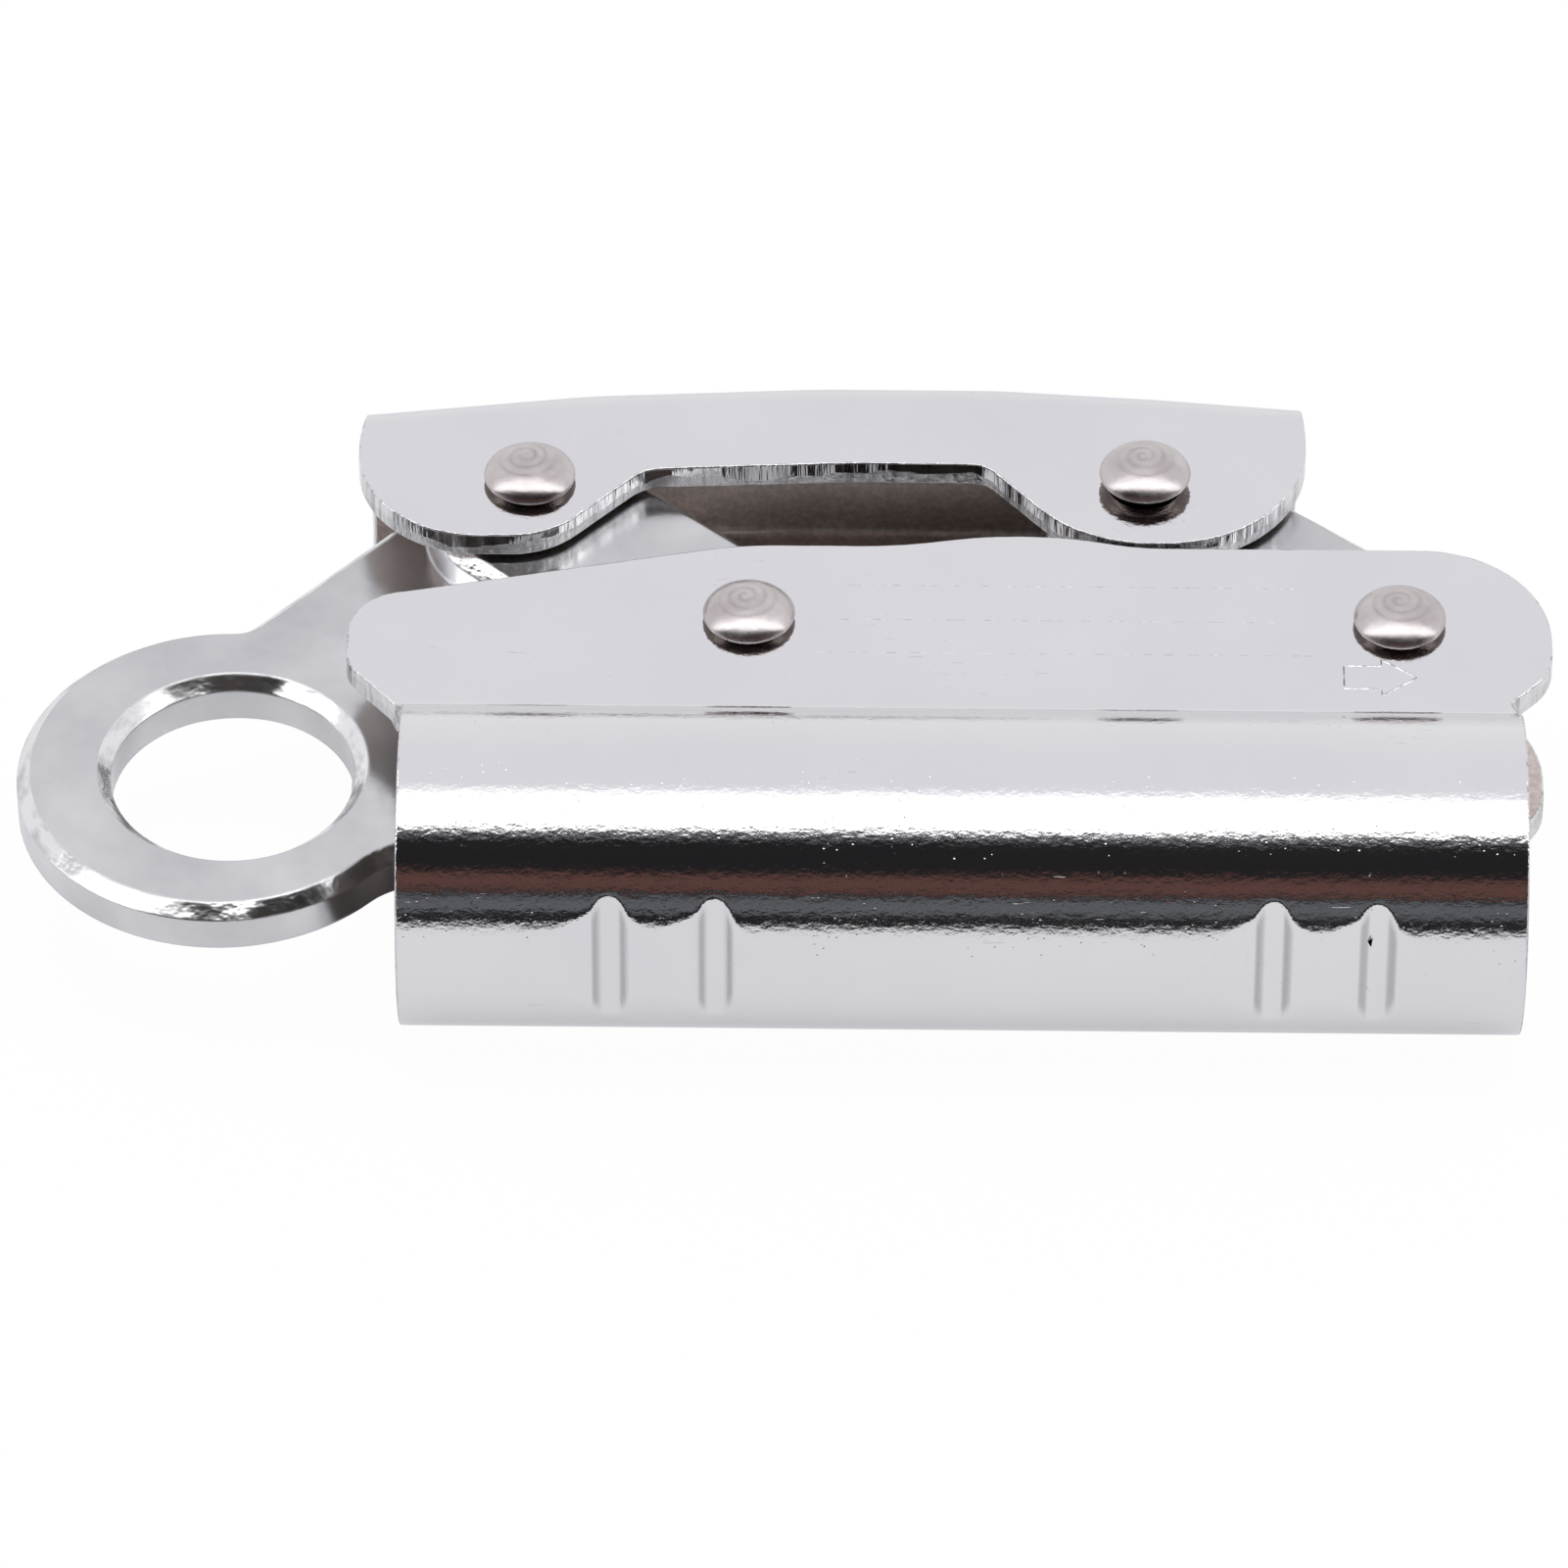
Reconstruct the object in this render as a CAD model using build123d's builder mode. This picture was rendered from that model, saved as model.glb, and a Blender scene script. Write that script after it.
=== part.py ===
from build123d import *
import os

# ---------------------------------------------------------------------------
# Rope grab: a bent-sheet rope channel, two toothed cams on pivots, a handle
# link that joins them, and four rivets.  Millimetres.
# Origin: axis of the rope tube at mid-length.  +X along the rope towards the
# "up" arrow, +Y from the rope towards the handle link, +Z square to the
# side plates.  The pieces are in the closed position, with no rope.
# ---------------------------------------------------------------------------

# sheet metal
sheet = 3.0                 # thickness of both bent sheets
plate_z = 12.2              # half the height over the side plates
gap_z = plate_z - sheet     # half the gap between the side plates
bend_inner = 1.2            # inside radius of the handle link's bends

# rope tube
tube_r = 17.5
tube_inner_r = tube_r - sheet
tube_half = 61.1            # half the tube's length
throat_r = 1.4              # outside radius where the tube meets a side plate
plate_top = 38.8            # height of the side plates' long edge
blank_half = 70.0           # half the length of the untrimmed channel

# pressed ribs across the back of the tube
rib_x = (-38.0, -26.5, 33.7, 45.0)
rib_tilt = -6.0             # degrees the ribs are turned around the tube
rib_depth = 1.9             # depth of the narrow groove
rib_groove_r = 1.6
rib_dish_depth = 0.9        # depth of the shallow dish around the groove
rib_dish_r = 8.0
rib_stand = 1.2             # how far a rib stands out inside the tube
rib_back_r = 4.2

# pivots: two fixed to the channel, two carried by the handle link
lower_pivot = (-23.5, 26.85)
upper_pivot = (48.1, 26.85)
lower_link = (-48.25, 49.05)
upper_link = (20.3, 49.3)

# rivets
rivet_r = 4.0
head_r = 5.15
head_h = 3.1
head_rim = 0.7              # height of the head's straight rim
head_edge = 0.4             # chamfer under the rim
crown_r = 2.4               # rim of the dimple in the head's crown
dimple_r = 1.2
dimple = 0.3                # depth of the dimple
head_gap = 0.03             # from the heads to the plates they hold
plate_clear = 0.03          # radial clearance in the side plates
pivot_clear = 0.08          # radial clearance in the cams
open_pivot_clear = 0.20     # radial clearance where the linkage closes
proud_lift = 0.8            # lift of the one head that stands off its plate

# cams
cam_z = 8.5                 # half thickness of a cam
cam_chamfer = 1.5
lower_hub_r = 12.4
lower_link_hub_r = 11.7
upper_hub_r = 11.8
upper_link_hub_r = 11.5
nose_angles = (-76.0, -88.0, -100.0, -112.0)
nose_radii = (26.0, 28.8, 31.6, 34.4)
tooth_step = 6.0            # degrees between teeth
tooth_width = 2.0
tooth_count = 6

# eye
eye_z = 3.5                 # half thickness of the eye plate
eye_centre = (-81.0, 11.6)
eye_r = 22.7
eye_chamfer = 1.5
hole_centre = (-80.0, 11.7)
hole_r = 13.4

os.makedirs("parts", exist_ok=True)


def polar(pivot, radius, angle):
    """Point at a radius and an angle from a pivot."""
    return Vector(*pivot) + Vector(radius, 0).rotate(Axis.Z, angle)


def nose_points(pivot):
    """The nose's face, from its low end to its high end."""
    return [polar(pivot, radius, angle) for radius, angle in zip(nose_radii, nose_angles)]


def tooth_places(pivot):
    """Where the grooves between the teeth cross the nose."""
    places = []
    for number in range(tooth_count):
        angle = nose_angles[0] - tooth_step * (number + 0.5)
        share = (angle - nose_angles[0]) / (nose_angles[-1] - nose_angles[0])
        radius = nose_radii[0] + share * (nose_radii[-1] - nose_radii[0])
        places.append(Location(polar(pivot, radius + 0.2, angle), angle + 45))
    return places


def upright(centre):
    """A plane through a rivet's axis, with its local Y along +Z."""
    return Plane((centre[0], centre[1], 0), x_dir=(1, 0, 0), z_dir=(0, -1, 0))


def make_rivet(centre, proud=0.0):
    """A rivet with a domed, spun head on each end."""
    seat = plate_z + head_gap
    with BuildPart() as rivet:
        with BuildSketch(upright(centre)):
            with BuildLine():
                for side, base in ((1, seat + proud), (-1, seat)):
                    rim = (head_r, side * (base + head_rim))
                    crown = (crown_r, side * (base + head_h))
                    Polyline((rivet_r, side * base), (head_r - head_edge, side * base),
                             (head_r, side * (base + head_edge)), rim)
                    ThreePointArc(rim, (4.3, side * (base + 2.2)), crown)
                    Line(crown, (dimple_r, side * (base + head_h - dimple)))
                    Line((dimple_r, side * (base + head_h - dimple)),
                         (0, side * (base + head_h - dimple)))
                Line((rivet_r, -seat), (rivet_r, seat + proud))
                Line((0, -(seat + head_h - dimple)), (0, seat + proud + head_h - dimple))
            make_face()
        revolve(axis=Axis((centre[0], centre[1], 0), (0, 0, 1)))
    return rivet


# ---------------------------------------------------------------------------
# body channel: keyhole section, trimmed to the side plates' outline
# ---------------------------------------------------------------------------
with BuildPart() as rope_way:
    with BuildSketch(Plane.YZ.offset(-blank_half)) as way:
        Circle(tube_inner_r)
        with Locations((plate_top / 2 + 6, 0)):
            Rectangle(plate_top + 12, 2 * gap_z)
        fillet(way.vertices().filter_by_position(Axis.X, 5, 20), throat_r + sheet)
    extrude(amount=2 * blank_half)
    for x in rib_x:
        rib_plane = Plane((x, 0, 0)).rotated((rib_tilt, 0, 0))
        with BuildSketch(rib_plane.offset(-tube_r)):
            with Locations((0, -(tube_inner_r - rib_stand + rib_back_r))):
                Circle(rib_back_r)
        extrude(amount=2 * tube_r, mode=Mode.SUBTRACT)

with BuildPart() as body_channel:
    with BuildSketch(Plane.YZ.offset(-blank_half)) as section:
        Circle(tube_r)
        with Locations((plate_top / 2 + 3, 0)):
            Rectangle(plate_top + 6, 2 * plate_z)
        fillet(section.vertices().filter_by_position(Axis.X, 5, 20), throat_r)
    extrude(amount=2 * blank_half)
    add(rope_way.part, mode=Mode.SUBTRACT)
    with BuildSketch(Plane.XY.offset(-tube_r - 1)):
        with BuildLine():
            FilletPolyline(
                (-tube_half, -tube_r - 1), (-tube_half, 11.5), (-67.6, 19.1), (-67.6, 29.5),
                (-24.5, plate_top), (-7.5, plate_top), (3.0, 40.6), (11.5, 40.5),
                (19.5, plate_top), (64.8, plate_top), (64.8, 19.3), (60.0, 14.2),
                (tube_half, 12.2), (tube_half, -tube_r - 1),
                radius=(0.3, 0.5, 4.0, 6.5, 40.0, 50.0, 40.0, 40.0, 30.0, 14.0, 7.5, 0.5, 0.5, 0.3),
                close=True)
        make_face()
    extrude(amount=2 * tube_r + 2, mode=Mode.INTERSECT)
    for x in rib_x:
        rib_plane = Plane((x, 0, 0)).rotated((rib_tilt, 0, 0))
        with BuildSketch(rib_plane.offset(-tube_r)):
            with Locations((0, -(tube_r - rib_depth + rib_groove_r))):
                Circle(rib_groove_r)
            with Locations((0, -(tube_r - rib_dish_depth + rib_dish_r))):
                Circle(rib_dish_r)
        extrude(amount=2 * tube_r, mode=Mode.SUBTRACT)
    with Locations((*lower_pivot, 0), (*upper_pivot, 0)):
        Hole(rivet_r + plate_clear)
body_channel.part.label = "body_channel"

# ---------------------------------------------------------------------------
# handle link: a U-section sheet with two rounded lobes on each side
# ---------------------------------------------------------------------------
link_back = ((37.9, 64.2), (22.0, 65.8), (4.0, 67.1), (-16.0, 67.1), (-42.0, 65.6), (-66.7, 62.2))
link_back_r = (0.4, 80.0, 80.0, 80.0, 80.0, 0.4)

with BuildPart() as link_hollow:
    with BuildSketch(Plane.XY.offset(-gap_z)):
        with BuildLine():
            FilletPolyline(
                (70.0, 20.0), (70.0, 61.2 - 3.0), *[(x, y - sheet) for x, y in link_back[1:5]],
                (-90.0, 58.9 - 3.1), (-90.0, 20.0),
                radius=(0.5, 0.5, 80.0, 80.0, 80.0, 80.0, 0.5, 0.5),
                close=True)
        make_face()
    extrude(amount=2 * gap_z)
    back_edges = link_hollow.edges().filter_by(lambda e: e.center().Y > 57 and abs(e.center().Z) > 9)
    fillet(back_edges, bend_inner)

with BuildPart() as handle_link:
    with BuildSketch(Plane.XY.offset(-plate_z)):
        with BuildLine():
            FilletPolyline(
                *link_back, (-67.5, 55.5), (-67.4, 39.9), (-46.0, 39.9), (-35.5, 51.0),
                (-12.0, 52.3), (2.5, 52.2), (13.3, 39.5), (38.2, 39.5), (38.4, 57.5),
                radius=(*link_back_r, 12.0, 13.5, 10.0, 5.0, 20.0, 3.5, 16.0, 16.0, 5.0),
                close=True)
        make_face()
    extrude(amount=2 * plate_z)
    bends = handle_link.edges().filter_by(
        lambda e: e.center().Y > 62.5 and abs(e.center().Z) > plate_z - 0.01)
    fillet(bends, bend_inner + sheet)
    add(link_hollow.part, mode=Mode.SUBTRACT)
    with Locations((*lower_link, 0), (*upper_link, 0)):
        Hole(rivet_r + plate_clear)
handle_link.part.label = "handle_link"

# ---------------------------------------------------------------------------
# eye lever: thin eye plate that thickens into the lower toothed cam
# ---------------------------------------------------------------------------
with BuildPart() as eye_plate:
    with BuildSketch(Plane.XY.offset(-eye_z)) as plate_outline:
        with Locations(eye_centre):
            Circle(eye_r)
        with BuildLine():
            Polyline((-85.0, 28.4), (-62.0, 53.2), (-50.0, 55.0), (-30.0, 30.0), (-24.0, 2.0),
                     (-38.0, 0.0), (-52.0, 3.0), (-70.0, -6.2), close=True)
        make_face()
        joins = plate_outline.vertices().filter_by(
            lambda v: abs((Vector(v.X, v.Y) - Vector(*eye_centre)).length - eye_r) < 0.01)
        fillet(joins.sort_by(Axis.Y)[0], 8.0)
        fillet(plate_outline.vertices().sort_by_distance((-79.5, 34.3))[0], 3.0)
        with Locations(hole_centre):
            Circle(hole_r, mode=Mode.SUBTRACT)
    extrude(amount=2 * eye_z)
    rims = eye_plate.edges().filter_by(lambda e: abs(e.center().Z) > eye_z - 0.01)
    chamfer(rims, eye_chamfer)

with BuildPart() as eye_lever:
    with BuildSketch(Plane.XY.offset(-cam_z)):
        with BuildSketch(Plane.XY, mode=Mode.PRIVATE) as hubs:
            with Locations(lower_pivot):
                Circle(lower_hub_r)
            with Locations(lower_link):
                Circle(lower_link_hub_r)
            make_hull()
        add(hubs.sketch)
        with BuildLine():
            Spline(*nose_points(lower_pivot))
            Polyline(nose_points(lower_pivot)[-1], polar(lower_pivot, 26.0, -128),
                     polar(lower_pivot, 10.0, -170), polar(lower_pivot, 10.0, -30),
                     polar(lower_pivot, 20.0, -62), nose_points(lower_pivot)[0])
        make_face()
    extrude(amount=2 * cam_z)
    rims = eye_lever.edges().filter_by(lambda e: abs(e.center().Z) > cam_z - 0.01)
    chamfer(rims, cam_chamfer)
    add(eye_plate.part)
    with BuildSketch(Plane.XY.offset(-cam_z - 1)):
        with Locations(*tooth_places(lower_pivot)):
            Rectangle(tooth_width, tooth_width)
    extrude(amount=2 * cam_z + 2, mode=Mode.SUBTRACT)
    with Locations((*lower_pivot, 0), (*lower_link, 0)):
        Hole(rivet_r + pivot_clear)
eye_lever.part.label = "eye_lever"

# ---------------------------------------------------------------------------
# upper cam: the second toothed cam
# ---------------------------------------------------------------------------
with BuildPart() as upper_cam:
    with BuildSketch(Plane.XY.offset(-cam_z)):
        with BuildSketch(Plane.XY, mode=Mode.PRIVATE) as hubs:
            with Locations(upper_pivot):
                Circle(upper_hub_r)
            with Locations(upper_link):
                Circle(upper_link_hub_r)
            make_hull()
        add(hubs.sketch)
        with BuildLine():
            Spline(*nose_points(upper_pivot))
            Polyline(nose_points(upper_pivot)[-1], polar(upper_pivot, 26.0, -128),
                     polar(upper_pivot, 10.0, -170), polar(upper_pivot, 10.0, -30),
                     polar(upper_pivot, 20.0, -62), nose_points(upper_pivot)[0])
        make_face()
    extrude(amount=2 * cam_z)
    rims = upper_cam.edges().filter_by(lambda e: abs(e.center().Z) > cam_z - 0.01)
    chamfer(rims, cam_chamfer)
    with BuildSketch(Plane.XY.offset(-cam_z - 1)):
        with Locations(*tooth_places(upper_pivot)):
            Rectangle(tooth_width, tooth_width)
    extrude(amount=2 * cam_z + 2, mode=Mode.SUBTRACT)
    with Locations((*upper_pivot, 0)):
        Hole(rivet_r + pivot_clear)
    with Locations((*upper_link, 0)):
        Hole(rivet_r + open_pivot_clear)
upper_cam.part.label = "upper_cam"

# ---------------------------------------------------------------------------
# rivets
# ---------------------------------------------------------------------------
lower_pivot_rivet = make_rivet(lower_pivot)
lower_pivot_rivet.part.label = "lower_pivot_rivet"

upper_pivot_rivet = make_rivet(upper_pivot)
upper_pivot_rivet.part.label = "upper_pivot_rivet"

lower_link_rivet = make_rivet(lower_link)
lower_link_rivet.part.label = "lower_link_rivet"

upper_link_rivet = make_rivet(upper_link, proud_lift)
upper_link_rivet.part.label = "upper_link_rivet"

for piece in (body_channel, handle_link, eye_lever, upper_cam, lower_pivot_rivet,
              upper_pivot_rivet, lower_link_rivet, upper_link_rivet):
    export_step(piece.part, f"parts/{piece.part.label}.step")
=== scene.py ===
import bmesh
import bpy
import math
import random
from mathutils import Matrix, Vector, noise


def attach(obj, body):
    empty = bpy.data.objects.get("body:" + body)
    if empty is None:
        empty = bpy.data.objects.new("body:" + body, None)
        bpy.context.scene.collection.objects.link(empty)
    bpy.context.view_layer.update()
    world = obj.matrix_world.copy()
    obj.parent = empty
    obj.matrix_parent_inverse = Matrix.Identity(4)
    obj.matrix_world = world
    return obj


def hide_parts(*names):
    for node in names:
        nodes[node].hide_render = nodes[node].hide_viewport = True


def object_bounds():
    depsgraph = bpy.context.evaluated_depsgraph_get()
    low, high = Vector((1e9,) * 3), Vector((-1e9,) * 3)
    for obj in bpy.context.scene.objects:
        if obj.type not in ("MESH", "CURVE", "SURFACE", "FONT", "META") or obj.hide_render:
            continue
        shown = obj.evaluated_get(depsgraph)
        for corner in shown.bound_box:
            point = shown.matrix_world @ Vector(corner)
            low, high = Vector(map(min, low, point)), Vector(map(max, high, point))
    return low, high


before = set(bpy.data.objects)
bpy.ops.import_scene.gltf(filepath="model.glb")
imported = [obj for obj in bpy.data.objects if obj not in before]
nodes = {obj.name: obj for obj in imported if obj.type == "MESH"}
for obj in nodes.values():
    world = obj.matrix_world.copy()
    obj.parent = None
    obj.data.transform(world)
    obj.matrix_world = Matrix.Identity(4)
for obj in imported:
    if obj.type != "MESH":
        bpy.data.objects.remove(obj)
cad_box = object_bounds()
scene = bpy.context.scene
scene.view_settings.view_transform = "Standard"

MM = 0.001                  # outlines below are in millimetres

# sheet metal, as in the CAD frame
SHEET = 3.0                 # thickness of both bent sheets
PLATE_Z = 12.2              # half the height over the side plates
TUBE_R = 17.5
TUBE_HALF = 61.1            # half the tube's length
THROAT_R = 1.4
BEND_R = 4.2                # outside radius of the handle link's bends
HOLE_R = 4.03               # a rivet's hole in a plate
EYE_Z = 3.6                 # just over half the thickness of the eye plate
EDGE_ROUND = 0.22           # rounding of a sheared edge

# ribs pressed across the back of the tube
RIB_X = (-38.0, -26.5, 33.7, 45.0)
RIB_TILT = math.radians(6.0)
RIB_REACH = (6.0, 3.3)      # how far a rib's dish spreads towards -X and towards +X
RIB_DISH = 1.38             # depth of the wide dish
RIB_GROOVE = 0.52           # further depth of the narrow groove in it
RIB_GROOVE_HALF = 1.6       # half the groove's width
RIB_BACK = 0.7              # share of the tube's radius above which a rib is pressed
UNPRESSED = 0.3             # how far the ribs' limit lies off the tube between ribs

LOWER_PIVOT = (-23.5, 26.85)
UPPER_PIVOT = (48.1, 26.85)
LOWER_LINK = (-48.25, 49.05)
UPPER_LINK = (20.3, 49.3)

# rivets
RIVET_R = 4.0
HEAD_R = 5.15
HEAD_H = 3.1
HEAD_RIM = 0.8              # height of a head's widest ring over its plate
HEAD_GAP = 0.03             # between a plate and the head on it
PROUD_LIFT = 0.8            # how far the upper link rivet's top head stands off its plate
SWIRL_PITCH = 1.15          # between turns of the spiral on a spun crown

# view, as in the photograph
VIEW_ELEVATION = 44.0       # degrees
VIEW_YAW = -0.686
VIEW_ROLL = 0.028
VIEW_LENS = 265.56
VIEW_DISTANCE = 1.2625      # metres, along the view, from the camera to the frame's origin
VIEW_RIGHT = 0.019299       # metres that the origin lies to the right of the view's middle
VIEW_BELOW = 0.009354       # metres that it lies below the middle


# ------------------------------------------------------------------ camera
def place_camera():
    """A long lens, 44 degrees above the object, in front of the tube."""
    data = bpy.data.cameras.new("camera")
    data.sensor_width = 36.0
    data.lens = VIEW_LENS
    data.clip_end = 20
    camera = bpy.data.objects.new("camera", data)
    scene.collection.objects.link(camera)
    elevation, yaw, roll = (math.radians(angle) for angle in (VIEW_ELEVATION, VIEW_YAW, VIEW_ROLL))
    forward = Vector((math.sin(yaw) * math.cos(elevation),
                      math.cos(yaw) * math.cos(elevation),
                      -math.sin(elevation)))
    level = Vector((math.cos(yaw), -math.sin(yaw), 0.0))
    upright = level.cross(forward)
    right = level * math.cos(roll) + upright * math.sin(roll)
    up = upright * math.cos(roll) - level * math.sin(roll)
    place = -(right * VIEW_RIGHT - up * VIEW_BELOW + forward * VIEW_DISTANCE)
    camera.matrix_world = Matrix((
        (right.x, up.x, -forward.x, place.x),
        (right.y, up.y, -forward.y, place.y),
        (right.z, up.z, -forward.z, place.z),
        (0, 0, 0, 1)))
    scene.camera = camera


place_camera()


# ------------------------------------------------------------------ node helpers
def add(tree, kind, inputs=None, **settings):
    """Add a shader node; inputs are values or other nodes' sockets."""
    node = tree.nodes.new("ShaderNode" + kind)
    for key, value in settings.items():
        setattr(node, key, value)
    for key, value in (inputs or {}).items():
        if isinstance(value, bpy.types.NodeSocket):
            tree.links.new(value, node.inputs[key])
        else:
            node.inputs[key].default_value = value
    return node


def math_node(tree, operation, a, b=0.0, c=0.0):
    """The result of a Math node."""
    node = add(tree, "Math", {0: a, 1: b, 2: c}, operation=operation)
    return node.outputs[0]


def ramp(tree, factor, stops):
    """Colour ramp; stops are (position, grey or colour)."""
    node = add(tree, "ValToRGB", {0: factor})
    elements = node.color_ramp.elements
    while len(elements) < len(stops):
        elements.new(0.5)
    for element, (position, colour) in zip(elements, stops):
        element.position = position
        element.color = (*colour, 1) if isinstance(colour, tuple) else (colour, colour, colour, 1)
    return node.outputs[0]


def noise_node(tree, vector, scale, detail=3.0, rough=0.55):
    """The value of a noise texture."""
    node = add(tree, "TexNoise", {"Vector": vector, "Scale": scale, "Detail": detail,
                                  "Roughness": rough})
    return node.outputs["Fac"]


def stretched(tree, vector, scale):
    """A vector multiplied by another, axis by axis."""
    node = add(tree, "VectorMath", {0: vector, 1: scale}, operation="MULTIPLY")
    return node.outputs[0]


def bump(tree, height, distance, strength=1.0, normal=None):
    """A normal shaken by a height; the distance is in metres."""
    inputs = {"Height": height, "Distance": distance, "Strength": strength}
    if normal is not None:
        inputs["Normal"] = normal
    return add(tree, "Bump", inputs).outputs[0]


def mix_colour(tree, factor, a, b):
    """A colour between two colours or sockets."""
    node = tree.nodes.new("ShaderNodeMix")
    node.data_type = "RGBA"
    for socket, value in ((node.inputs[0], factor), (node.inputs[6], a), (node.inputs[7], b)):
        if isinstance(value, bpy.types.NodeSocket):
            tree.links.new(value, socket)
        else:
            socket.default_value = (*value, 1) if isinstance(value, tuple) else value
    return node.outputs[2]


def metal(name):
    """A new metallic material: its node tree, shader and object coordinates."""
    material = bpy.data.materials.new(name)
    material.use_nodes = True
    tree = material.node_tree
    shader = tree.nodes["Principled BSDF"]
    shader.inputs["Metallic"].default_value = 1.0
    place = add(tree, "TexCoord").outputs["Object"]
    return material, tree, shader, place


def connect(tree, shader, **sockets):
    """Link sockets to the shader's inputs of the same names."""
    for key, value in sockets.items():
        tree.links.new(value, shader.inputs[key.replace("_", " ")])


# ------------------------------------------------------------------ materials
def zinc_plating():
    """Bright plating over rolled sheet: orange peel, pits, fine scratches."""
    material, tree, shader, place = metal("zinc_plating")
    peel = noise_node(tree, stretched(tree, place, (900, 1500, 1500)), 1.0, 3.0, 0.6)
    waves = noise_node(tree, stretched(tree, place, (18, 40, 40)), 1.0, 2.0)
    soft = bump(tree, waves, 0.00006)
    peeled = bump(tree, peel, 0.000032, 1.0, soft)
    pits = add(tree, "TexVoronoi", {"Vector": place, "Scale": 950.0, "Randomness": 1.0}).outputs["Distance"]
    pit_mask = ramp(tree, pits, ((0.0, 1.0), (0.13, 0.0)))
    pit_chance = ramp(tree, noise_node(tree, place, 110.0, 2.0), ((0.47, 0.0), (0.57, 1.0)))
    pitted = math_node(tree, "MULTIPLY", pit_mask, pit_chance)
    scratch_place = add(tree, "Mapping", {"Vector": place, "Rotation": (0.0, 0.3, 0.7),
                                          "Scale": (240, 5200, 5200)}).outputs[0]
    scratch = ramp(tree, noise_node(tree, scratch_place, 1.0, 1.0), ((0.74, 0.0), (0.78, 1.0)))
    scratch_chance = ramp(tree, noise_node(tree, place, 75.0, 1.0), ((0.6, 0.0), (0.66, 1.0)))
    scratched = math_node(tree, "MULTIPLY", scratch, scratch_chance)
    marks = math_node(tree, "MAXIMUM", pitted, scratched)
    marked = bump(tree, math_node(tree, "MULTIPLY", marks, -1.0), 0.00004, 1.0, peeled)
    cloud = noise_node(tree, place, 35.0, 4.0)
    bright = ramp(tree, cloud, ((0.3, (0.765, 0.76, 0.785)), (0.7, (0.80, 0.797, 0.815))))
    colour = mix_colour(tree, marks, bright, (0.68, 0.67, 0.68))
    # painted shade: the ribs' steep walls are darkened in the plating's colour
    rib_shade = add(tree, "Attribute", attribute_name="rib_wall").outputs["Fac"]
    colour = mix_colour(tree, math_node(tree, "MULTIPLY", rib_shade, 0.85), colour, (0.46, 0.46, 0.47))
    rough = ramp(tree, cloud, ((0.3, 0.055), (0.7, 0.10)))
    connect(tree, shader, Base_Color=colour, Roughness=rough, Normal=marked)
    return material


def sheared_edge():
    """Cut edge of the sheet: a burnished band with upright drag lines over a torn band."""
    material, tree, shader, place = metal("sheared_edge")
    split = add(tree, "SeparateXYZ", {0: place})
    height = math_node(tree, "ABSOLUTE", split.outputs["Z"])
    depth = math_node(tree, "MULTIPLY_ADD", height, 1 / (SHEET * MM), -(PLATE_Z - SHEET) / SHEET)
    drag = noise_node(tree, stretched(tree, place, (900, 900, 60)), 1.0, 3.0, 0.7)
    wide_drag = noise_node(tree, stretched(tree, place, (190, 190, 25)), 1.0, 2.0)
    torn = noise_node(tree, stretched(tree, place, (1500, 1500, 1100)), 1.0, 4.0, 0.7)
    border = math_node(tree, "MULTIPLY_ADD", wide_drag, 0.9, 0.02)
    over = math_node(tree, "GREATER_THAN", depth, border)
    relief = math_node(tree, "MULTIPLY_ADD", over, math_node(tree, "SUBTRACT", drag, torn), torn)
    step = math_node(tree, "MULTIPLY_ADD", over, 0.35, relief)
    broad = bump(tree, wide_drag, 0.0011)
    uneven = bump(tree, step, 0.0002, 1.0, broad)
    shade = ramp(tree, drag, ((0.34, (0.44, 0.44, 0.45)),
                              (0.46, (0.74, 0.74, 0.75)),
                              (0.7, (0.84, 0.84, 0.85))))
    rough_torn = math_node(tree, "MULTIPLY_ADD", over, -0.15, 0.25)
    connect(tree, shader, Base_Color=shade, Roughness=rough_torn, Normal=uneven)
    return material


def inner_plating():
    """Dull plating inside the sheets, with a thin brown film."""
    material, tree, shader, place = metal("inner_plating")
    cloud = noise_node(tree, place, 70.0, 4.0)
    grain = noise_node(tree, stretched(tree, place, (500, 500, 900)), 1.0, 3.0)
    specks = ramp(tree, noise_node(tree, place, 1300.0, 3.0, 0.7), ((0.42, 0.4), (0.6, 0.0)))
    film = ramp(tree, cloud, ((0.3, (0.7, 0.62, 0.58)), (0.7, (0.84, 0.77, 0.73))))
    colour = mix_colour(tree, specks, film, (0.4, 0.35, 0.33))
    rough = ramp(tree, grain, ((0.3, 0.38), (0.7, 0.56)))
    connect(tree, shader, Base_Color=colour, Roughness=rough, Normal=bump(tree, grain, 0.00003))
    return material


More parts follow.
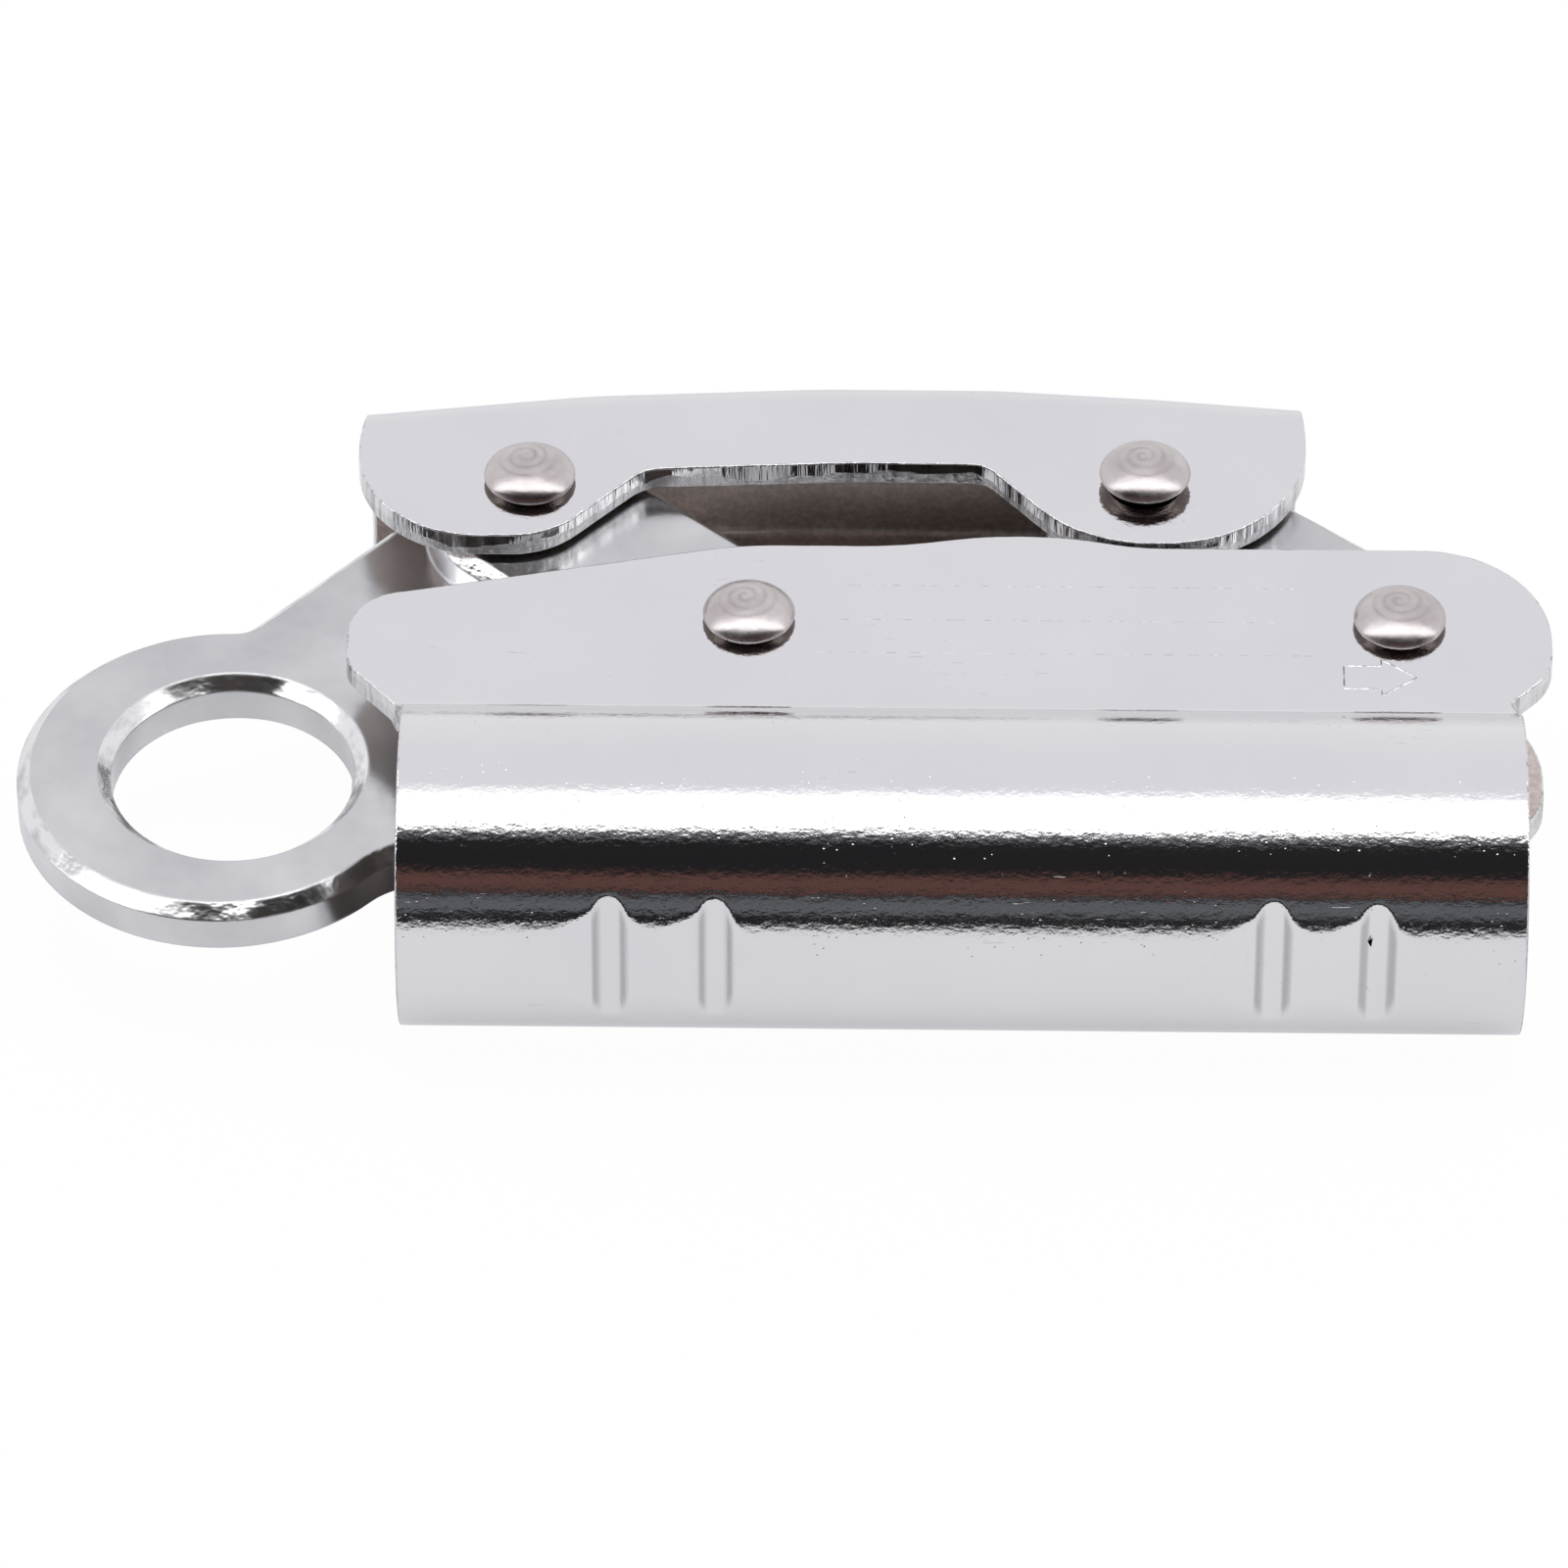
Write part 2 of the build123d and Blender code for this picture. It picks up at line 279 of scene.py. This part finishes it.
def cast_plating():
    """Plated casting: satin flats, chamfers hammered and worn by tumbling, and painted shade on the
    chamfers.
    """
    material, tree, shader, place = metal("cast_plating")
    rounded = add(tree, "Bevel", {"Radius": 0.0005}, samples=6).outputs[0]
    facing = add(tree, "SeparateXYZ", {0: add(tree, "NewGeometry").outputs["True Normal"]}).outputs["Z"]
    tilt = math_node(tree, "ABSOLUTE", facing)
    slope = ramp(tree, tilt, ((0.3, 0.0), (0.45, 1.0), (0.9, 1.0), (0.96, 0.0)))
    grain = noise_node(tree, place, 700.0, 4.0, 0.65)
    lumps = noise_node(tree, stretched(tree, place, (210, 210, 420)), 1.0, 3.0, 0.6)
    dents = noise_node(tree, place, 75.0, 2.0)
    wear = ramp(tree, noise_node(tree, place, 60.0, 3.0), ((0.42, 0.15), (0.62, 1.0)))
    # tumbling leans the eye's chamfers over towards its flats, more in some places than in others
    patches = ramp(tree, dents, ((0.45, 0.04), (0.62, 0.72)))
    height = math_node(tree, "ABSOLUTE", add(tree, "SeparateXYZ", {0: place}).outputs["Z"])
    thin = math_node(tree, "LESS_THAN", height, EYE_Z * MM)
    lean = math_node(tree, "MULTIPLY", math_node(tree, "MULTIPLY", slope, thin), patches)
    lean = math_node(tree, "MULTIPLY", lean, math_node(tree, "SIGN", facing))
    leaned = add(tree, "VectorMath", {0: rounded, 1: add(tree, "CombineXYZ", {2: lean}).outputs[0]},
                 operation="ADD").outputs[0]
    shaped = add(tree, "VectorMath", {0: leaned}, operation="NORMALIZE").outputs[0]
    fine = bump(tree, grain, 0.00001, 1.0, shaped)
    strength = math_node(tree, "MULTIPLY_ADD", math_node(tree, "MULTIPLY", slope, wear), 0.9, 0.1)
    worn = add(tree, "Bump", {"Height": lumps, "Distance": 0.00032, "Strength": strength,
                              "Normal": fine}).outputs[0]
    cloud = noise_node(tree, place, 48.0, 5.0)
    satin = ramp(tree, cloud, ((0.36, (0.57, 0.57, 0.59)), (0.64, (0.74, 0.74, 0.755))))
    # painted shade: the chamfers, picked out by how steeply they face, get a darker colour, with lighter
    # lumps in it
    chamfer_painted_shade = mix_colour(tree, thin, (0.3, 0.3, 0.31), (0.62, 0.62, 0.63))
    bright = mix_colour(tree, ramp(tree, lumps, ((0.4, 0.0), (0.56, 1.0))), chamfer_painted_shade, (0.86, 0.86, 0.87))
    colour = mix_colour(tree, slope, satin, bright)
    rough = ramp(tree, cloud, ((0.36, 0.26), (0.64, 0.15)))
    connect(tree, shader, Base_Color=colour, Roughness=rough, Normal=worn)
    return material


def rivet_steel():
    """Spun rivet steel: warm and satin, with the tool's spiral in painted shade, and dirt with painted shade
    under the head where it faces a plate.
    """
    material, tree, shader, place = metal("rivet_steel")
    cloud = noise_node(tree, place, 260.0, 4.0)
    grain = noise_node(tree, place, 1400.0, 3.0)
    # painted shade: faces turned towards the plate get a dark brown colour, for dirt and for the shade under
    # the head
    upward = add(tree, "SeparateXYZ", {0: add(tree, "NewGeometry").outputs["Normal"]}).outputs["Z"]
    side = math_node(tree, "SIGN", add(tree, "SeparateXYZ", {0: place}).outputs["Z"])
    outward = math_node(tree, "MULTIPLY_ADD", math_node(tree, "MULTIPLY", upward, side), 0.5, 0.5)
    grime_and_painted_shade = ramp(tree, outward, ((0.38, 1.0), (0.5, 0.0)))
    steel = ramp(tree, cloud, ((0.3, (0.52, 0.475, 0.475)), (0.7, (0.68, 0.64, 0.64))))
    # painted shade: a darker colour along the grooves of the spun spiral
    spiral_painted_shade = math_node(tree, "MULTIPLY", add(tree, "Attribute", attribute_name="spiral_painted_shade").outputs["Fac"], 0.75)
    steel = mix_colour(tree, spiral_painted_shade, steel, (0.36, 0.32, 0.32))
    colour = mix_colour(tree, grime_and_painted_shade, steel, (0.17, 0.14, 0.125))
    rough = ramp(tree, cloud, ((0.3, 0.2), (0.7, 0.32)))
    connect(tree, shader, Base_Color=colour, Roughness=rough, Normal=bump(tree, grain, 0.000015))
    return material


def stamped_steel():
    """Burr thrown up beside a stamped stroke."""
    material, tree, shader, place = metal("stamped_steel")
    cloud = noise_node(tree, place, 900.0, 2.0)
    colour = ramp(tree, cloud, ((0.4, (0.25, 0.25, 0.26)), (0.6, (0.8, 0.8, 0.81))))
    rough = ramp(tree, cloud, ((0.3, 0.12), (0.7, 0.25)))
    connect(tree, shader, Base_Color=colour, Roughness=rough, Normal=bump(tree, cloud, 0.00002))
    return material


zinc, sheared, inner = zinc_plating(), sheared_edge(), inner_plating()
casting, rivet_metal, stamped = cast_plating(), rivet_steel(), stamped_steel()


# ------------------------------------------------------------------ outlines
def corner_arc(before, corner, after, radius, step=0.5):
    """Points that round one corner of an outline."""
    a = (before - corner).normalized()
    b = (after - corner).normalized()
    opening = a.angle(b)
    reach = radius / math.tan(opening / 2)
    centre = corner + (a + b).normalized() * radius / math.sin(opening / 2)
    start, end = corner + a * reach - centre, corner + b * reach - centre
    sweep = math.pi - opening
    count = max(2, math.ceil(sweep * radius / step), math.ceil(sweep / math.radians(15)))
    points = []
    for number in range(count + 1):
        share = number / count
        points.append(centre + (start * math.sin((1 - share) * sweep) + end * math.sin(share * sweep))
                      / math.sin(sweep))
    return points


def rounded_path(corners, radii, closed=True):
    """A polyline with its corners rounded; an open one keeps its two ends."""
    corners = [Vector(corner) for corner in corners]
    count = len(corners)
    points = []
    for number, (corner, radius) in enumerate(zip(corners, radii)):
        if not closed and number in (0, count - 1):
            points.append(corner)
            continue
        points += corner_arc(corners[number - 1], corner, corners[(number + 1) % count], radius)
    return points


def circle(centre, radius, count=48):
    turns = (2 * math.pi * number / count for number in range(count))
    return [Vector((centre[0] + radius * math.cos(turn), centre[1] + radius * math.sin(turn)))
            for turn in turns]


# ------------------------------------------------------------------ sheet pieces
def fill_plate(bm, rim, holes, z):
    """Fill a flat side plate: its rim is a loop of vertices, its holes are outlines."""
    loops = [rim]
    for hole in holes:
        loops.append([bm.verts.new((p.x, p.y, z)) for p in hole])
    edges = []
    for loop in loops:
        for a, b in zip(loop, loop[1:] + loop[:1]):
            edges.append(bm.edges.get((a, b)) or bm.edges.new((a, b)))
    made = bmesh.ops.triangle_fill(bm, edges=edges, use_beauty=True)
    faces = [f for f in made["geom"] if isinstance(f, bmesh.types.BMFace)]
    bounds = set(edges)
    inside = {e for f in faces for e in f.edges if e not in bounds}
    bmesh.ops.dissolve_limit(bm, angle_limit=0.01, edges=list(inside), verts=[],
                             use_dissolve_boundaries=False)


def add_grid(bm, rows):
    """Join rows of vertices into quads."""
    for low, high in zip(rows, rows[1:]):
        for a, b, c, d in zip(low, low[1:], high[1:], high):
            bm.faces.new((a, b, c, d))


def sheet_piece(name, bm, body, node, walls=None):
    """Thicken an outer skin inwards to sheet metal, with its cut edges rounded."""
    bmesh.ops.recalc_face_normals(bm, faces=bm.faces)
    top = max((f for f in bm.faces if f.normal.z ** 2 > 0.98 and f.calc_center_median().z > PLATE_Z - 0.5),
              key=lambda f: f.calc_area())
    if top.normal.z < 0:
        bmesh.ops.reverse_faces(bm, faces=bm.faces)
    for face in bm.faces:
        face.smooth = True
    bmesh.ops.scale(bm, vec=(MM, MM, MM), verts=bm.verts)
    mesh = bpy.data.meshes.new(name)
    bm.to_mesh(mesh)
    bm.free()
    for material in (zinc, sheared, inner):
        mesh.materials.append(material)
    piece = bpy.data.objects.new(name, mesh)
    scene.collection.objects.link(piece)
    # painted shade: each vertex keeps how much of a rib's steep wall it lies on, for the plating to darken
    if walls:
        dark = mesh.attributes.new("rib_wall", "FLOAT", "POINT")
        dark.data.foreach_set("value", [walls(vertex.co / MM) for vertex in mesh.vertices])
    wall = piece.modifiers.new("sheet", "SOLIDIFY")
    wall.thickness = SHEET * MM
    wall.offset = -1
    wall.use_even_offset = True
    wall.material_offset = 2
    wall.material_offset_rim = 1
    rounding = piece.modifiers.new("rounded_edges", "BEVEL")
    rounding.width = EDGE_ROUND * MM
    rounding.segments = 2
    rounding.limit_method = "ANGLE"
    rounding.angle_limit = math.radians(50)
    rounding.use_clamp_overlap = False
    rounding.material = 1
    shading = piece.modifiers.new("flat_faces", "WEIGHTED_NORMAL")
    shading.weight = 60
    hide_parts(node)
    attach(piece, body)


def soft_floor(height, limit, blend=0.07):
    """The lower of two heights, with the crease between them rounded."""
    difference = (height - limit) / blend
    if difference < -30:
        return height
    return height - blend * math.log1p(math.exp(min(difference, 60)))


def rib_groove(away):
    """Depth of a rib's narrow groove at a distance from its middle, from 0 to 1."""
    return math.exp(-abs(away / RIB_GROOVE_HALF) ** 5)


def rib_limit(x):
    """Height that the pressed ribs leave of the tube's back at a place along it."""
    limit = TUBE_R + UNPRESSED
    for rib in RIB_X:
        away = x - rib
        reach = RIB_REACH[0] if away < 0 else RIB_REACH[1]
        limit -= (UNPRESSED + RIB_DISH) * math.exp(-abs(away / reach) ** 1.6)
        limit -= RIB_GROOVE * rib_groove(away)
    return limit


def rib_wall(point):
    """How much of a rib's steep wall lies at a point of the skin, from 0 to 1."""
    x, y, z = point
    height = -y * math.cos(RIB_TILT) + z * math.sin(RIB_TILT)
    if height < TUBE_R * RIB_BACK:
        return 0.0
    pressed = min(1.0, max(0.0, (TUBE_R - math.hypot(y, z)) / 0.5))
    steep = max(abs(rib_groove(x - rib + 0.1) - rib_groove(x - rib - 0.1)) / 0.2 for rib in RIB_X)
    return pressed * min(1.0, max(0.0, (steep - 0.4) * 2.2))


def tube_point(x, angle):
    """A point of the tube's skin; the angle is from -Y towards +Z."""
    from_rib = angle - RIB_TILT
    height, side = TUBE_R * math.cos(from_rib), TUBE_R * math.sin(from_rib)
    if height > TUBE_R * RIB_BACK:
        height = soft_floor(height, rib_limit(x))
    back = Vector((-math.cos(RIB_TILT), math.sin(RIB_TILT)))
    across = Vector((math.sin(RIB_TILT), math.cos(RIB_TILT)))
    return back * height + across * side


def end_x(y):
    """Where the channel's two trimmed ends lie, near the throat."""
    low = -TUBE_HALF - max(0.0, y - 11.5) * 6.5 / 7.6
    high = TUBE_HALF - max(0.0, y - 12.2) * 1.1 / 2.0
    return low, high


def spread(values, low, high):
    """Stretch a row of x places from the tube's length to another length."""
    return [low + (x + TUBE_HALF) / (2 * TUBE_HALF) * (high - low) for x in values]


def body_channel():
    """Keyhole channel: two side plates and a rope tube with pressed ribs."""
    places = [-TUBE_HALF, -TUBE_HALF + 0.4]
    while places[-1] < TUBE_HALF - 1.6:
        near = min(abs(places[-1] - rib) for rib in RIB_X)
        places.append(places[-1] + (0.3 if near < 3.2 else 0.55 if near < 7.5 else 1.5))
    places += [TUBE_HALF - 0.4, TUBE_HALF]

    throat_z = PLATE_Z + THROAT_R
    throat_y = math.sqrt((TUBE_R + THROAT_R) ** 2 - throat_z ** 2)
    meet = math.atan2(throat_z, throat_y)
    section = []
    for number in range(7):
        turn = math.radians(-90) - number / 6 * (math.pi / 2 - meet)
        section.append((throat_y + THROAT_R * math.cos(turn), throat_z + THROAT_R * math.sin(turn)))
    section = section[:-1]
    angle = math.pi - meet
    turns = []
    while angle > 0:
        turns.append(angle)
        angle -= math.radians(1.2 if angle < math.radians(36) else 2.4)
    turns += [-turn for turn in reversed(turns)]

    bm = bmesh.new()
    rows = []
    for y, z in section:
        rows.append([bm.verts.new((x, y, z)) for x in spread(places, *end_x(y))])
    for turn in turns:
        flat = -math.cos(turn) * TUBE_R
        row = []
        for x in spread(places, *end_x(flat)):
            point = tube_point(x, turn)
            row.append(bm.verts.new((x, point.x, point.y)))
        rows.append(row)
    for y, z in reversed(section):
        rows.append([bm.verts.new((x, y, -z)) for x in spread(places, *end_x(y))])
    add_grid(bm, rows)

    left, right = end_x(throat_y)
    rim = rounded_path(
        ((left, throat_y), (-67.6, 19.1), (-67.6, 29.5), (-24.5, 38.8), (-7.5, 38.8), (3.0, 40.6),
         (11.5, 40.5), (19.5, 38.8), (64.8, 38.8), (64.8, 19.3), (60.0, 14.2), (right, throat_y)),
        (0, 4.0, 6.5, 40.0, 50.0, 40.0, 40.0, 30.0, 14.0, 7.5, 0.5, 0), closed=False)[1:-1]
    holes = [circle(LOWER_PIVOT, HOLE_R), circle(UPPER_PIVOT, HOLE_R)]
    for row, z in ((rows[0], PLATE_Z), (rows[-1], -PLATE_Z)):
        loop = [bm.verts.new((p.x, p.y, z)) for p in rim]
        fill_plate(bm, loop + row[::-1], holes, z)
    sheet_piece("channel_sheet", bm, "channel", "body_channel", rib_wall)


def handle_link():
    """U-section handle link: a curved web and two plates, each with two lobes."""
    back = rounded_path(
        ((37.9, 64.2), (22.0, 65.8), (4.0, 67.1), (-16.0, 67.1), (-42.0, 65.6), (-66.7, 62.2)),
        (0, 80.0, 80.0, 80.0, 80.0, 0), closed=False)
    even = [back[0]]
    for a, b in zip(back, back[1:]):
        count = max(1, round((b - a).length / 1.5))
        even += [a.lerp(b, (number + 1) / count) for number in range(count)]
    inward = []
    for number, point in enumerate(even):
        along = (even[min(number + 1, len(even) - 1)] - even[max(number - 1, 0)]).normalized()
        inward.append(Vector((-along.y, along.x)))
    inward[0] = Vector((0.5, -6.7)) / 6.7
    inward[-1] = Vector((-0.8, -6.7)) / 6.7

    bm = bmesh.new()
    rows = []
    turns = [math.radians(90) * number / 8 for number in range(9)]
    section = [(BEND_R * (1 - math.sin(t)), PLATE_Z - BEND_R * (1 - math.cos(t))) for t in turns]
    middle = [(0.0, (PLATE_Z - BEND_R) * share) for share in (0.5, 0.0, -0.5)]
    section = section + middle + [(off, -z) for off, z in reversed(section)]
    for off, z in section:
        row = [bm.verts.new((p.x + way.x * off, p.y + way.y * off, z)) for p, way in zip(even, inward)]
        rows.append(row)
    add_grid(bm, rows)

    start, end = rows[0][0].co.xy, rows[0][-1].co.xy
    rim = rounded_path(
        (end, (-67.5, 55.5), (-67.4, 39.9), (-46.0, 39.9), (-35.5, 51.0), (-12.0, 52.3),
         (2.5, 52.2), (13.3, 39.5), (38.2, 39.5), (38.4, 57.5), start),
        (0, 12.0, 13.5, 10.0, 5.0, 20.0, 3.5, 16.0, 16.0, 5.0, 0), closed=False)[1:-1]
    holes = [circle(LOWER_LINK, HOLE_R), circle(UPPER_LINK, HOLE_R)]
    for row, z in ((rows[0], PLATE_Z), (rows[-1], -PLATE_Z)):
        loop = [bm.verts.new((p.x, p.y, z)) for p in rim]
        fill_plate(bm, row + loop, holes, z)
    sheet_piece("link_sheet", bm, "link", "handle_link")


# ------------------------------------------------------------------ rivets
def head_profile():
    """Radius and height of a spun head, from under its overhang to its crown."""
    points = [(RIVET_R + 0.35, 0.0), (RIVET_R + 0.55, 0.2), (HEAD_R - 0.3, 0.5), (HEAD_R, HEAD_RIM)]
    for number in range(1, 31):
        radius = HEAD_R * math.cos(math.radians(90) * number / 30)
        rise = (1 - (radius / HEAD_R) ** 2) ** 0.66
        points.append((radius, HEAD_RIM + (HEAD_H - HEAD_RIM - 0.08) * rise))
    return points


def spun_head(bm, centre, base, side, seed, ring, shade):
    """One head, grown from a ring of shank vertices; its crown is spun off centre."""
    count = len(ring)
    random.seed(seed)
    off = Vector((random.uniform(-0.7, 0.3), random.uniform(0.1, 0.9)))
    rows = [ring]
    for radius, height in head_profile()[:-1]:
        row = []
        for number in range(count):
            turn = 2 * math.pi * number / count
            x, y = radius * math.cos(turn), radius * math.sin(turn)
            away = (Vector((x, y)) - off).length
            crown = max(0.0, 1 - radius / (HEAD_R * 0.8))
            dip = 0.10 * math.exp(-((away - 0.9) / 0.35) ** 2) - 0.02 * math.exp(-(away / 0.4) ** 2)
            dip += 0.05 * math.exp(-((away - 1.9) / 0.35) ** 2) + 0.02 * math.exp(-((away - 2.8) / 0.3) ** 2)
            rough = noise.noise(Vector((x * 0.55 + seed, y * 0.55, side * 3.0))) * 0.16
            lift = height - min(1.0, crown * 2.5) * dip - 0.1 * min(1.0, height) * abs(rough) * 2
            swell = 1 - 0.012 * (1 + noise.noise(Vector((math.cos(turn), math.sin(turn), seed))))
            vertex = bm.verts.new((centre[0] + x * swell, centre[1] + y * swell,
                                   side * (base + max(0.0, lift))))
            # the spiral's painted shade, strongest on the crown
            bearing = math.atan2(y - off.y, x - off.x) / (2 * math.pi)
            wave = 0.5 + 0.5 * math.cos(2 * math.pi * (away / SWIRL_PITCH - bearing))
            patch = 0.6 + 0.8 * noise.noise(Vector((x * 0.5, y * 0.5, seed + 9.0)))
            vertex[shade] = min(1.0, crown * 2.2) * wave ** 3 * max(0.0, min(1.0, patch))
            row.append(vertex)
        rows.append(row)
    closed = [row + row[:1] for row in rows]
    add_grid(bm, closed if side > 0 else [row[::-1] for row in closed])
    tip = rows[-1]
    bm.faces.new(tip if side > 0 else tip[::-1])


def rivet(name, node, body, centre, seed, proud=0.0):
    """A shank with a spun head at each end."""
    count = 72
    top, bottom = PLATE_Z + HEAD_GAP + proud, PLATE_Z + HEAD_GAP
    bm = bmesh.new()
    # painted shade along each crown's spiral, kept per vertex
    shade = bm.verts.layers.float.new("spiral_painted_shade")
    rings = []
    for z in (top, 0.0, -bottom):
        outline = circle(centre, RIVET_R, count)
        rings.append([bm.verts.new((p.x, p.y, z)) for p in outline])
    add_grid(bm, [ring + ring[:1] for ring in rings])
    spun_head(bm, centre, top, 1, seed, rings[0], shade)
    spun_head(bm, centre, bottom, -1, seed + 50, rings[-1], shade)
    bmesh.ops.recalc_face_normals(bm, faces=bm.faces)
    for face in bm.faces:
        face.smooth = True
    bmesh.ops.scale(bm, vec=(MM, MM, MM), verts=bm.verts)
    mesh = bpy.data.meshes.new(name)
    bm.to_mesh(mesh)
    bm.free()
    mesh.materials.append(rivet_metal)
    piece = bpy.data.objects.new(name, mesh)
    scene.collection.objects.link(piece)
    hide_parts(node)
    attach(piece, body)


# ------------------------------------------------------------------ stamped marks
def stroke(bm, start, end, z, width=0.26, height=0.055):
    """A thin raised burr from one point to another."""
    start, end = Vector(start), Vector(end)
    along = (end - start).normalized()
    across = Vector((-along.y, along.x)) * width / 2
    low = [bm.verts.new((p.x, p.y, z - 0.02)) for p in
           (start - across, end - across, end + across, start + across)]
    ridge = [bm.verts.new((p.x, p.y, z + height)) for p in
             (start + along * width / 2, end - along * width / 2)]
    bm.faces.new((low[0], low[1], ridge[1], ridge[0]))
    bm.faces.new((low[2], low[3], ridge[0], ridge[1]))
    bm.faces.new((low[1], low[2], ridge[1]))
    bm.faces.new((low[3], low[0], ridge[0]))
    bm.faces.new(low[::-1])


def stamped_marks():
    """An outlined arrow towards the upper end, and three rows of plain dashes."""
    bm = bmesh.new()
    tail, head, tip = 41.8, 45.9, 49.8
    middle, half, barb = 18.2, 1.8, 2.9
    arrow = ((tail, middle + half), (head, middle + half), (head, middle + barb), (tip, middle),
             (head, middle - barb), (head, middle - half), (tail, middle - half), (tail, middle + half))
    for a, b in zip(arrow, arrow[1:]):
        stroke(bm, a, b, PLATE_Z)
    random.seed(7)
    rows = ((32.3, -12.7, 35.0, 3.0), (26.8, -13.8, 36.0, 2.4), (21.5, -16.4, 38.5, 2.0))
    for row_y, low, high, dash in rows:
        x = low
        while x < high:
            length = dash * random.uniform(0.5, 1.3)
            stroke(bm, (x, row_y), (x + length, row_y), PLATE_Z, width=0.18, height=0.01)
            x += length + random.uniform(0.8, 1.8)
    bmesh.ops.scale(bm, vec=(MM, MM, MM), verts=bm.verts)
    mesh = bpy.data.meshes.new("stamped_marks")
    bm.to_mesh(mesh)
    bm.free()
    mesh.materials.append(stamped)
    piece = bpy.data.objects.new("stamped_marks", mesh)
    scene.collection.objects.link(piece)
    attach(piece, "channel")


body_channel()
handle_link()
rivet("lower_pivot_head", "lower_pivot_rivet", "channel", LOWER_PIVOT, 3)
rivet("upper_pivot_head", "upper_pivot_rivet", "channel", UPPER_PIVOT, 5)
rivet("lower_link_head", "lower_link_rivet", "link", LOWER_LINK, 8)
rivet("upper_link_head", "upper_link_rivet", "link", UPPER_LINK, 12, PROUD_LIFT)
stamped_marks()
for name in ("eye_lever", "upper_cam"):
    nodes[name].data.materials.clear()
    nodes[name].data.materials.append(casting)


# ------------------------------------------------------------------ floor
def lay_floor():
    """Pale paper, over-exposed where the camera sees it, as in a product picture."""
    bpy.ops.mesh.primitive_plane_add(size=6.0, location=(0, 0, cad_box[0][2] - 0.0002))
    floor = bpy.context.object
    floor.name = "floor"
    material = bpy.data.materials.new("floor_paper")
    material.use_nodes = True
    tree = material.node_tree
    paper = tree.nodes["Principled BSDF"]
    paper.inputs["Base Color"].default_value = (0.8, 0.8, 0.8, 1)
    paper.inputs["Roughness"].default_value = 0.9
    rays = add(tree, "LightPath").outputs
    glow = add(tree, "Emission", {"Color": (1, 1, 1, 1), "Strength": 1.0})
    mirrored = add(tree, "Emission", {"Color": (0.79, 0.785, 0.81, 1), "Strength": 1.0})
    soft = add(tree, "MixShader", {0: math_node(tree, "MULTIPLY", rays["Is Glossy Ray"], 0.75),
                                   1: paper.outputs[0], 2: mirrored.outputs[0]})
    both = add(tree, "MixShader", {0: math_node(tree, "MULTIPLY", rays["Is Camera Ray"], 0.97),
                                   1: soft.outputs[0], 2: glow.outputs[0]})
    tree.links.new(both.outputs[0], tree.nodes["Material Output"].inputs["Surface"])
    floor.data.materials.append(material)


lay_floor()


# ------------------------------------------------------------------ light
def light_studio():
    """A bright strip overhead, a dark front, and a pale room behind the object."""
    world = bpy.data.worlds.new("studio")
    scene.world = world
    world.use_nodes = True
    tree = world.node_tree
    way = add(tree, "TexCoord").outputs["Generated"]
    split = add(tree, "SeparateXYZ", {0: way})
    front = math_node(tree, "MULTIPLY", split.outputs["Y"], -1.0)
    angle = math_node(tree, "ARCTAN2", front, split.outputs["Z"])
    share = math_node(tree, "MULTIPLY_ADD", angle, 1 / math.pi, 0.5)
    behind = (0.9, 0.9, 0.9)
    room = (0.86, 0.85, 0.88)
    strip = (2.2, 2.2, 2.2)
    dark = (0.018, 0.017, 0.018)
    glint = (0.22, 0.22, 0.23)
    brown = (0.17, 0.08, 0.065)
    grey = (0.16, 0.168, 0.182)
    ground = (0.7, 0.7, 0.7)
    # degrees from straight up towards the front
    stops = ((-90, behind), (-46, room), (-13, room), (-1, strip), (17, strip),
             (20, dark), (23, glint), (25, dark), (42, dark), (48, dark),
             (53, brown), (60, brown), (64, dark), (69, grey), (77, grey),
             (80, dark), (88, dark), (90, ground))
    colour = ramp(tree, share, [((degrees + 90) / 180, value) for degrees, value in stops])
    cloud = noise_node(tree, stretched(tree, way, (130, 16, 16)), 1.0, 4.0)
    patches = ramp(tree, cloud, ((0.44, 0.0), (0.62, 1.0)))
    front_share = ramp(tree, share, ((0.72, 0.0), (0.74, 1.0), (0.985, 1.0), (0.995, 0.0)))
    uneven = math_node(tree, "MULTIPLY", math_node(tree, "MULTIPLY", patches, front_share), 0.7)
    background = tree.nodes["Background"]
    ahead = mix_colour(tree, uneven, colour, dark)
    aside = math_node(tree, "ABSOLUTE", split.outputs["X"])
    beside = ramp(tree, aside, ((0.72, 0.0), (0.95, 0.75)))
    around = math_node(tree, "MULTIPLY", beside, front_share)
    tree.links.new(mix_colour(tree, around, ahead, (0.6, 0.6, 0.62)), background.inputs["Color"])
    softbox = bpy.data.lights.new("overhead", "AREA")
    softbox.energy = 12
    softbox.size = 1.2
    lamp = bpy.data.objects.new("overhead", softbox)
    lamp.location = (0, 0, 1.6)
    lamp.visible_glossy = False
    scene.collection.objects.link(lamp)


light_studio()
